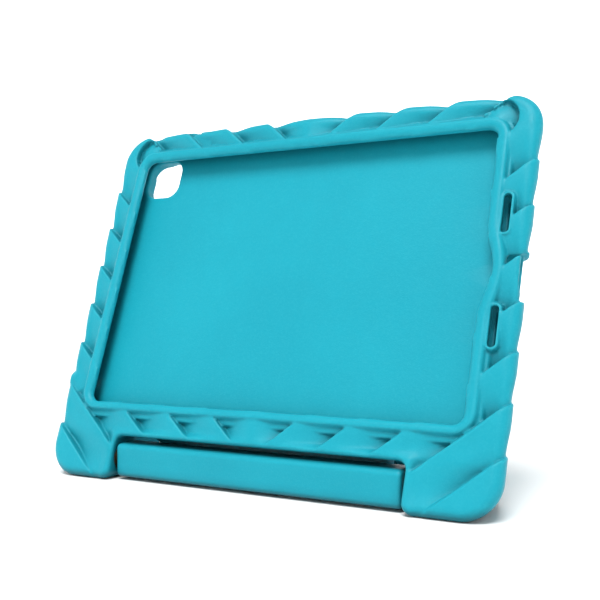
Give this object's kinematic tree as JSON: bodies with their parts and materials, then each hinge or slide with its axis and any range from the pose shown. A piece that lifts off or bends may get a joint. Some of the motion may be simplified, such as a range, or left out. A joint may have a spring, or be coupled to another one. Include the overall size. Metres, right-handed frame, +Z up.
{
  "type": "tablet case",
  "caption": "Moulded foam case for a tablet held sideways, with a tread-like rim, two feet and a swinging bar handle that props it up.",
  "frame": {"origin": "on the ground under the middle of the part as it stands, in the middle of its overall width and depth", "axes": "+X to the right as the screen is seen, +Y to the back, +Z up; the case leans back 20 degrees on its soles"},
  "size_m": [0.279, 0.1424, 0.2106],
  "materials": {
    "foam": "satin closed-cell foam with a fine skin",
    "button_foam": "satin",
    "nylon": "matte, lightly textured",
    "bronze": "turned",
    "washer": "matte",
    "steel": "bright zinc plate"
  },
  "bodies": {
    "case": {"case_body": "foam", "hinge_block_left": "nylon", "hinge_block_right": "nylon", "bush_left": "bronze", "bush_right": "bronze", "friction_washer_left": "washer", "friction_washer_right": "washer", "wave_washer_left": "steel", "wave_washer_right": "steel", "hinge_cover_left": "nylon", "hinge_cover_right": "nylon", "cover_screws": "steel"},
    "handle": {"bar_foam": "foam", "arm_foam_left": "foam", "arm_foam_right": "foam", "grip_foam": "foam", "handle_core": "nylon", "axle_rod": "steel", "core_pins": "steel", "lock_nut_left": "steel", "lock_nut_right": "steel"},
    "volume_up": {"volume_up_button": "button_foam"},
    "volume_down": {"volume_down_button": "button_foam"},
    "power": {"power_button": "button_foam"}
  },
  "joints": [
    {"name": "handle_hinge", "type": "hinge", "parent": "case", "child": "handle", "pos_m": [0, -0.05482, 0.011], "axis": [1, 0, 0], "range_deg": [-110, 58]},
    {"name": "volume_up_press", "type": "slide", "parent": "case", "child": "volume_up", "axis": [0, -0.342, -0.9397], "range_m": [0, 0.0008], "stiffness_N_per_m": 800},
    {"name": "volume_down_press", "type": "slide", "parent": "case", "child": "volume_down", "axis": [0, -0.342, -0.9397], "range_m": [0, 0.0008], "stiffness_N_per_m": 800},
    {"name": "power_press", "type": "slide", "parent": "case", "child": "power", "axis": [1, 0, 0], "range_m": [0, 0.0008], "stiffness_N_per_m": 800}
  ]
}
